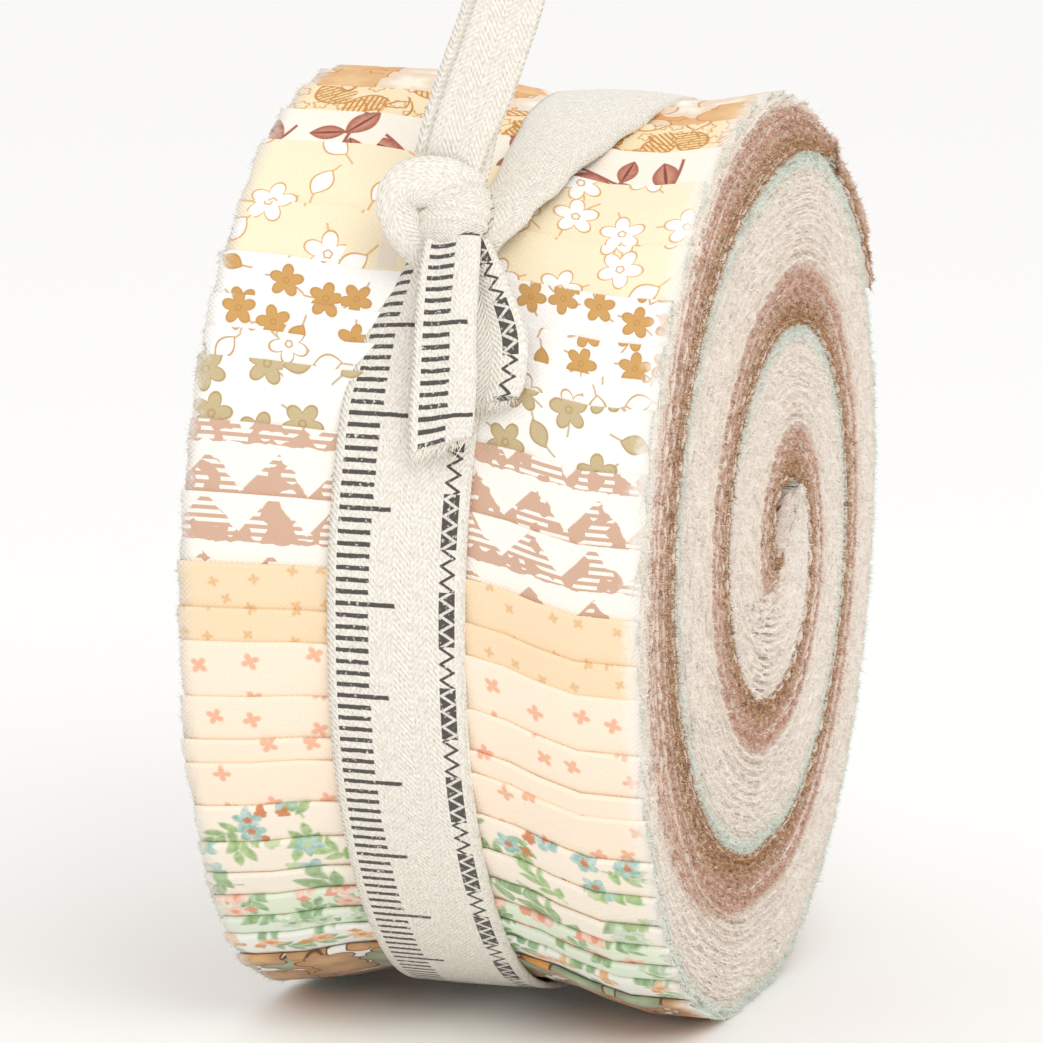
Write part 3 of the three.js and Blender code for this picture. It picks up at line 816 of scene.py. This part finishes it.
edge_lines = {-1: [], 1: []}
for strips, ground, design in PRINTS:
    for strip in strips:
        name = f"strip_{strip:02d}"
        points, faces, kinds, across, lengthwise, tones, edges = strip_mesh(strip)
        piece = finished(name, points, faces)
        fold_place = strip * PRINT_STEP
        give_cloth_map(piece, across, lengthwise - lengthwise.max() / 2 + fold_place)
        showing = STRIP_LENGTH
        if strip > 1:
            showing = math.radians(STRIP_ENDS[strip - 1] - STRIP_ENDS[strip - 2]) * DOME_RADIUS
        give_stack_place(piece, tones)
        for material in (cotton(name, ground, design, fold_place - showing), wrong_side, cut_edges):
            piece.data.materials.append(material)
        piece.data.polygons.foreach_set("material_index", kinds.astype(np.int32))
        piece.data.polygons.foreach_set("use_smooth", kinds < 2)
        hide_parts("fabric_roll")
        if strip > STEPPED_STRIPS:
            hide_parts("loose_end")
        for side in edge_lines:
            edge_lines[side].append((tones[-2 * len(edges[side]) :: 2], edges[side]))


# The fuzz of the cut edges
# The strips are pinked, and their cut ends of thread stand out as a short soft pile on both ends of
# the roll. Each fibre is one thin triangle, rooted on a strip's edge.

FIBRES_PER_STRIP = 4600
FIBRE_WIDTH = 0.21
FIBRE_LENGTH = (0.45, 1.25)
LONG_SHARE = 0.06
LONGER = 1.5
ROOT_DEPTH = 0.2
SPREAD = 0.75
OUTWARDS = (0.55, 0.35)


def hairs(name, roots, lean, reach, half_width, root_depth):
    """Thin triangles, one to a root: each starts inside the cloth and reaches out along its lean."""
    start = roots - lean * root_depth
    points = np.stack([start - half_width, start + half_width, start + lean * reach], 1).reshape(-1, 3)
    points[:, 2] = np.maximum(points[:, 2], -FLOOR_DEPTH)
    return finished(name, points, np.arange(len(points)).reshape(-1, 3).tolist())


fuzz_finish = fringe("edge fuzz", 0.08, 0.8)
for side, lines in edge_lines.items():
    roots, shares = [], []
    for tones, line in lines:
        length = measured(line)
        at = rng.random(FIBRES_PER_STRIP) * length[-1]
        roots.append(np.stack([np.interp(at, length, line[:, i]) for i in range(3)], 1))
        shares.append(np.interp(at, length, tones))
    roots, shares = np.concatenate(roots), np.concatenate(shares)
    count = len(roots)
    lean = rng.normal(0, SPREAD, (count, 3))
    lean[:, 0] = side * (OUTWARDS[0] + OUTWARDS[1] * rng.random(count))
    lean = unit(lean)
    reach = rng.uniform(*FIBRE_LENGTH, (count, 1))
    reach *= np.where(rng.random((count, 1)) < LONG_SHARE, LONGER, 1)
    across = unit(np.cross(lean, rng.normal(0, 1, (count, 3)))) * FIBRE_WIDTH / 2
    name = "fuzz_right" if side > 0 else "fuzz_left"
    fuzz = hairs(name, roots, lean, reach, across, ROOT_DEPTH)
    give_stack_place(fuzz, np.repeat(shares, 3))
    fuzz.data.materials.append(fuzz_finish)


# The tape
# One length of natural cotton twill tape, three quarters of an inch wide and printed as a ruler. It
# goes once round the roll, and its ends are knotted at the front.

TWILL_THICKNESS = 0.8
INCH = 25.4
PRINT_END = 345
BAND_LIFT = (
    (-316, 4.4), (-309, 3.6), (-302, 2.7), (-290, 1.4), (-284, 0.9), (-265, 0.2), (-232, 0), (24, 0),
    (34, 0.2), (42, 1.4), (47, 2.6),
)
BAND_WIDTH = (
    (-316, 6.2), (-309, 7.4), (-302, 9.0), (-290, 14.0), (-284, 16.8), (-265, 18.4), (-232, 19), (24, 19),
    (34, 16), (42, 10.5), (47, 8),
)
BAND_CLEARANCE = 0.65
TIED_LIFT = 0.7
LOOSE_STOP = 155.5
RISE_TO_LOOSE = (SEAT_ANGLE - 14, 12)
FALL_FROM_LOOSE = (LOOSE_STOP + 4, 22)
CURL_FLATNESS = 0.32
TIGHTEST_CURL = 0.3
NEARLY_FLAT = 0.999
HALF_TAPE = TAPE_WIDTH / 2
RIB_LANE = 2.3
RIB_PITCH = 0.85
TWILL_THREAD = 0.62
FLECK_SIZE = 1 / 1.7
RULER_SIDE = 8.3
BORDER_SIDE = 7.1
BLOCK_PITCH = 13
ZIGZAG = 2.2


def thin_sheet(middle):
    """A closed sheet of twill round a grid of places (station, column, 3): points and faces of its
    face, its back and the four edges between them."""
    stations, columns = middle.shape[:2]
    square = unit(np.cross(np.gradient(middle, axis=1), np.gradient(middle, axis=0)))
    half = square * TWILL_THICKNESS / 2
    both = np.stack([middle + half, middle - half], 2)
    index = np.arange(stations * columns * 2).reshape(stations, columns, 2)
    face, reverse = index[..., 0], index[..., 1]
    faces = []
    for grid, flip in ((face, False), (reverse, True)):
        found = quads(grid).reshape(-1, 4)
        faces.append(found[:, ::-1] if flip else found)
    for row, flip in ((index[0], True), (index[-1], False), (index[:, 0], False), (index[:, -1], True)):
        faces.append(wall(row)[:, ::-1] if flip else wall(row))
    return both.reshape(-1, 3), np.concatenate(faces).tolist()


def curled(width, columns=17, cloth=TAPE_WIDTH):
    """Cross-section of a tape gathered to a width: an arc of the cloth's own length, flattened, as
    distances across and outwards for each place across the tape. Past half a circle its edges turn
    in under it."""
    wanted = np.clip(width / cloth, TIGHTEST_CURL, NEARLY_FLAT)
    half_turn = np.linspace(0.02, math.pi / 2, 300)
    arched = np.interp(-wanted, -np.sin(half_turn) / half_turn, half_turn)
    turn = np.where(wanted > 2 / math.pi, arched, 1 / wanted)[:, None]
    place = np.linspace(-1, 1, columns)[None, :]
    radius = cloth / 2 / turn
    return radius * np.sin(place * turn), radius * (np.cos(place * turn) - 1) * CURL_FLATNESS


def over_loose_end(angle):
    """Height of the tape over the roll where it crosses the loose end and slopes down behind it."""
    at = wrapped(angle)
    height = follow(LOOSE_THICKNESS, np.minimum(at, LOOSE_STOP)) + TIED_GAP + TIED_LIFT
    return height * (1 - eased(at, FALL_FROM_LOOSE)) * eased(at, RISE_TO_LOOSE)


def twill(name, printed):
    """Herringbone twill: slanting ribs that turn back every few threads, with painted shade in the hollows
    between the ribs and grey flecks, and where it is printed, ruler marks up one edge and a dark patterned
    border up the other."""
    f = Finish(name)
    across, along, places = f.flat_places()
    fold = abs((across + TAPE_WIDTH / 2) % (2 * RIB_LANE) - RIB_LANE)
    ribs = ((along + fold * 1.1) * (TURN / RIB_PITCH)).sin()
    threads = (across * (TURN / TWILL_THREAD)).sin() * 0.35
    stretched = f.vector("MULTIPLY", places, (3.2, 0.7, 1))
    slub = f.noise(stretched, 1.0)
    fleck = f.noise(stretched, FLECK_SIZE, 1.0)
    colour = f.mix(slub.ramp(0.35, 0.65), dye("EEE6D8"), dye("FBF7EE"))
    # Painted shade: darker colour in the hollows between the ribs
    colour = f.mix(ribs.ramp(-0.2, -0.9) * 0.2, colour, dye("C4B8A4"))
    colour = f.mix(fleck.ramp(0.63, 0.69) * 0.42, colour, dye("9C9488"))
    if printed:
        wobble = f.noise(places, 1.3, 1) * 0.5 - 0.25
        step = (along + wobble * 0.4) / (INCH / 16)

        def every(sixteenths, start, end):
            """Marks of a ruler, one to so many sixteenths of an inch."""
            return abs(((step / sixteenths + 0.5) % 1) - 0.5).ramp(start, end)

        reach = every(8, 0.06, 0.05) * 2.6 + every(16, 0.03, 0.025) + 4.6
        mark = every(1, 0.24, 0.16) * (across + RULER_SIDE).over(0)
        ruler = mark * (reach - RULER_SIDE - across - wobble).ramp(-0.1, 0.1)
        block = ((along + 3) * (TURN / BLOCK_PITCH)).sin().over(-0.2)
        zigzag = abs((along % ZIGZAG) - ZIGZAG / 2) * 1.6 - 0.9 - across + BORDER_SIDE
        stroke = abs(zigzag).ramp(0.42, 0.3)
        inside_border = abs(across - BORDER_SIDE).ramp(1.15, 1.05)
        border = inside_border * (block + stroke - block * stroke * 1.9).most(0)
        worn = f.noise(places, 0.6, 1).ramp(0.2, 0.42)
        ink = ruler.most(border) * worn * along.ramp(PRINT_END, PRINT_END - 6)
        colour = f.mix(ink * 0.93, colour, dye("2E2825"))
    return f.finish(colour, 0.92, ribs + threads + slub * 0.6, 0.00006)


twill_printed = twill("printed twill", True)
twill_plain = twill("plain twill", False)


def tape_object(name, middle, finish, node, across=(-HALF_TAPE, HALF_TAPE)):
    """A length of tape from a grid of places, with its flat places in millimetres: across it they run
    from one limit to the other. Returns the piece and its length."""
    points, faces = thin_sheet(middle)
    piece = finished(name, points, faces)
    stations, columns = middle.shape[:2]
    along = measured(middle[:, columns // 2])
    width = np.linspace(*across, columns)
    give_cloth_map(piece, np.tile(np.repeat(width, 2), stations), np.repeat(along, columns * 2))
    piece.data.materials.append(finish)
    piece.data.polygons.foreach_set("use_smooth", np.ones(len(faces), bool))
    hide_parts(node)
    return piece, along[-1]


def band_places(angle):
    """The band's middle surface: the roll's own surface under it, lifted clear, and gathered to the
    width that the tape has there."""
    middle = follow(TAPE_MIDDLE, angle)
    across, out = curled(follow(BAND_WIDTH, angle))
    x = middle[:, None] + across
    bed = rim_radius(angle) - drawn_in(angle, middle) + over_loose_end(angle)
    radius = bed + BAND_CLEARANCE + TWILL_THICKNESS / 2 + follow(BAND_LIFT, angle)
    turned = np.broadcast_to(np.radians(angle)[:, None], x.shape)
    radius = radius[:, None] + out
    return np.stack([x, -radius * np.cos(turned), radius * np.sin(turned)], -1)


BAND_ANGLES = np.arange(46, -317, -2.0)
band, band_length = tape_object("tape_round", band_places(BAND_ANGLES), twill_printed, "tape_band")


def curve_through(rows, count):
    """Evenly spaced values on a smooth curve through the rows: each stretch is a cubic whose slopes at
    its ends are half the difference between the rows on either side."""
    rows = np.array(rows, float)
    padded = np.concatenate([[2 * rows[0] - rows[1]], rows, [2 * rows[-1] - rows[-2]]])
    at = np.linspace(0, len(rows) - 1, count)
    i = np.minimum(at.astype(int), len(rows) - 2)
    t = (at - i)[:, None]
    one, two, three, four = padded[i], padded[i + 1], padded[i + 2], padded[i + 3]
    return 0.5 * (
        2 * two + (three - one) * t + (2 * one - 5 * two + 4 * three - four) * t**2
        + (3 * two - one - 3 * three + four) * t**3
    )


def gathered(rows, count, section, face=None):
    """A tape's middle surface along a curve of (x, y, z, width): its section is spread along X,
    squared to the curve, or square to the direction that it faces, and along the direction square
    to both."""
    curve = curve_through(rows, count)
    along = unit(np.gradient(curve[:, :3], axis=0))
    wide = np.cross(face, along) if face else np.array([[1.0, 0, 0]])
    wide = unit(wide - along * (wide * along).sum(1, keepdims=True))
    proud = np.cross(along, wide)
    a, b = section(curve[:, 3])
    return curve[:, None, :3] + a[..., None] * wide[:, None] + b[..., None] * proud[:, None]


LOOP_COLUMNS = 23
LOOP_GAP = 0.9
LOOP_PEEK = 1.7


def doubled(width):
    """Section of a tape folded lengthwise: out along one layer, round the fold on its right, and back
    along the other, which stands out a little further on the left."""
    s = np.linspace(0, 1, LOOP_COLUMNS)[None, :]
    w = width[:, None]
    layer = 0.5 * np.tanh((s - 0.5) * 16)
    reach = 1 - np.sqrt(abs(2 * s - 1) ** 2 + 0.004)
    return -w / 2 + w * reach - LOOP_PEEK * layer * (1 - reach), LOOP_GAP * layer


LOOP = (
    (-0.4, -46.6, 53.4, 7.2), (-0.6, -45.6, 57.0, 8.6), (0.7, -45.2, 61.8, 9.4), (2.5, -45.0, 66.4, 10.2),
    (4.8, -45.0, 72.8, 10.2), (7.0, -44.8, 79.6, 10.2), (8.0, -43.8, 85.0, 9.8), (7.6, -40.4, 88.4, 9.6),
    (6.0, -36.9, 85.4, 9.4), (4.0, -35.8, 78.6, 9.2), (2.0, -36.6, 71.4, 9.0), (0.6, -39.6, 62.6, 8.4),
    (0.2, -43.4, 54.6, 7.4),
)
loop, loop_length = tape_object("tape_hanging_loop", gathered(LOOP, 110, doubled), twill_plain, "tape_loop")

# The knot: the tape wraps itself once, gathered into ridges, and its bight curls down on the left
KNOT_MIDDLE = (0.4, -47.1, 50.6)
KNOT_SIZE = (10.4, 8.6, 10.8)
KNOT_LEAN = 35
KNOT_RIDGES = 9
RIDGE_DEPTH = 0.22
CREASE_DEPTH = 0.12
SQUARENESS = 0.6
KNOT_AROUND = 72
KNOT_UP = 56
WRAP_LENGTH = 34


def knot_places():
    """A barrel that leans back on the rim: its girth falls off to top and bottom as a power of the
    cosine of the height, and wavering ridges run round it."""
    longitude = np.linspace(0, 2 * np.pi, KNOT_AROUND, endpoint=False)[None, :]
    latitude = np.linspace(-np.pi / 2, np.pi / 2, KNOT_UP)[1:-1, None]
    waver = 0.5 * np.sin(longitude + 0.7) + 0.25 * np.sin(3 * longitude)
    ridge = RIDGE_DEPTH * np.cos(2 * KNOT_RIDGES * latitude + waver * 2)
    ridge += CREASE_DEPTH * np.cos(5 * KNOT_RIDGES * latitude + 4 * waver)
    girth = np.cos(latitude) ** SQUARENESS
    x = (KNOT_SIZE[0] / 2 * girth + ridge * girth) * np.cos(longitude)
    y = (KNOT_SIZE[1] / 2 * girth + ridge * girth) * np.sin(longitude)
    z = KNOT_SIZE[2] / 2 * np.sin(latitude) + 0 * longitude
    lean = np.radians(KNOT_LEAN)
    return np.stack([x, y * np.cos(lean) + z * np.sin(lean), z * np.cos(lean) - y * np.sin(lean)], -1)


barrel = knot_places() + np.array(KNOT_MIDDLE)
rows, around = barrel.shape[:2]
ids = np.arange(rows * around).reshape(rows, around)
knot_faces = quads(np.concatenate([ids, ids[:, :1]], 1)).reshape(-1, 4).tolist()
knot_faces += [ids[0][::-1].tolist(), ids[-1].tolist()]
wrap = finished("tape_knot_wrap", barrel.reshape(-1, 3), knot_faces)
wrap_across = np.linspace(-9, 9, rows)
wrap_along = np.linspace(0, WRAP_LENGTH, around)
give_cloth_map(wrap, np.repeat(wrap_across, around), np.tile(wrap_along, rows))
wrap.data.materials.append(twill_plain)
wrap.data.polygons.foreach_set("use_smooth", np.ones(len(knot_faces), bool))
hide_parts("tape_knot")

BIGHT = (
    (3.2, -46.4, 52.8, 5.6), (-0.2, -49.0, 55.1, 6.2), (-3.8, -50.6, 55.3, 6.2), (-6.0, -51.2, 53.9, 5.6),
    (-6.4, -51.4, 51.5, 4.9), (-5.2, -51.0, 48.5, 4.5), (-3.0, -50.0, 45.8, 4.2), (-0.4, -48.6, 43.6, 4.0),
)
KNOT_FACE = (0.1, -0.98, 0.17)
bight_grid = gathered(BIGHT, 72, lambda width: curled(width, 21, HALF_TAPE), face=KNOT_FACE)
bight, bight_length = tape_object("tape_bight", bight_grid, twill_plain, "tape_knot", (-HALF_TAPE, 0))

TAIL_FRONT = (
    (1.4, -51.0, 48.4, 7.6), (2.0, -54.8, 43.2, 8.2), (2.5, -57.8, 37.0, 8.4), (3.0, -59.8, 31.0, 8.8),
    (3.3, -61.8, 25.5, 8.8), (3.5, -63.0, 22.2, 8.4),
)
TAIL_BACK = (
    (3.4, -49.6, 47.2, 5.0), (7.0, -53.4, 41.4, 6.0), (9.6, -56.2, 35.4, 7.4), (9.8, -58.0, 30.0, 7.4),
    (9.2, -58.8, 27.6, 6.8),
)
FRONT_SLANT = 2.2
BACK_SLANT = 3.6
WAVE_DEPTH = 0.35
WAVE_ANGLE = 7


def waved(columns):
    """A gently waved section."""

    def section(width):
        s = np.linspace(-0.5, 0.5, columns)[None, :]
        return s * width[:, None], WAVE_DEPTH * np.sin(s * WAVE_ANGLE) + 0 * width[:, None]

    return section


def slanted(grid, rise):
    """The grid with its far end cut aslant: its right side higher than its left by the rise."""
    along = np.linspace(0, 1, grid.shape[0])[:, None] ** 4
    across = np.linspace(-0.5, 0.5, grid.shape[1])[None, :]
    moved = grid.copy()
    moved[..., 2] += rise * along * across
    return moved


front_grid = slanted(gathered(TAIL_FRONT, 50, waved(13)), FRONT_SLANT)
back_grid = slanted(gathered(TAIL_BACK, 36, waved(11)), BACK_SLANT)
for name, grid, across in (
    ("tape_tail_front", front_grid, (-HALF_TAPE, 0.2)),
    ("tape_tail_back", back_grid, (1.5, HALF_TAPE)),
):
    half, length = tape_object(name, grid, twill_printed, "tape_knot", across)

# Threads stand out of the cut ends of the tail, and a few of them hang long
THREADS_PER_END = 90
LONG_THREADS = 5
LONG_THREAD = 3.4
THREAD_LENGTH = (0.5, 2.0)
THREAD_HALF_WIDTH = 0.11
THREAD_ROOT = 0.4
SWAY = 0.35
ends = []
for grid in (front_grid, back_grid):
    ends.append(grid[-1, 0] + (grid[-1, -1] - grid[-1, 0]) * rng.random((THREADS_PER_END, 1)))
ends = np.concatenate(ends)
hang = unit(rng.normal(0, SWAY, ends.shape) + (0, -SWAY, -1))
reach = rng.uniform(*THREAD_LENGTH, (len(ends), 1))
reach[:LONG_THREADS] *= LONG_THREAD
half_width = np.cross(hang, (0, 1, 0)) * THREAD_HALF_WIDTH
frayed = hairs("tape_threads", ends, hang, reach + THREAD_ROOT, half_width, THREAD_ROOT)
give_cloth_map(frayed, *np.zeros((2, 3 * len(ends))))
frayed.data.materials.append(twill_plain)


# The floor and the light
# White paper under white light from all sides, with a weak lamp to the front on the right that
# gives the soft shadow on the left. Sizes and places are in metres here.

FLOOR_HALF = 3
PAPER = "FCFBF9"
SKY_STRENGTH = 0.95
KEY_SIZE = 0.6
KEY_ENERGY = 3.2
KEY_PLACE = (0.5, -0.7, 0.8)

floor_mesh = bpy.data.meshes.new("floor")
corners = [(x * FLOOR_HALF, y * FLOOR_HALF, 0) for x, y in ((-1, -1), (1, -1), (1, 1), (-1, 1))]
floor_mesh.from_pydata(corners, [], [(0, 1, 2, 3)])
floor = in_scene("floor", floor_mesh)
paper = Finish("floor")
floor.data.materials.append(paper.finish(dye(PAPER), 0.9))

bpy.context.scene.view_settings.view_transform = "Standard"
world = bpy.data.worlds.new("studio")
bpy.context.scene.world = world
world.use_nodes = True
sky = world.node_tree.nodes["Background"].inputs
sky["Color"].default_value = (1, 1, 1, 1)
sky["Strength"].default_value = SKY_STRENGTH

key = in_scene("key", bpy.data.lights.new("key", "AREA"))
key.data.size = KEY_SIZE
key.data.energy = KEY_ENERGY
key.location = KEY_PLACE
key.rotation_euler = (WINDING_MIDDLE - key.location).to_track_quat("-Z", "Y").to_euler()
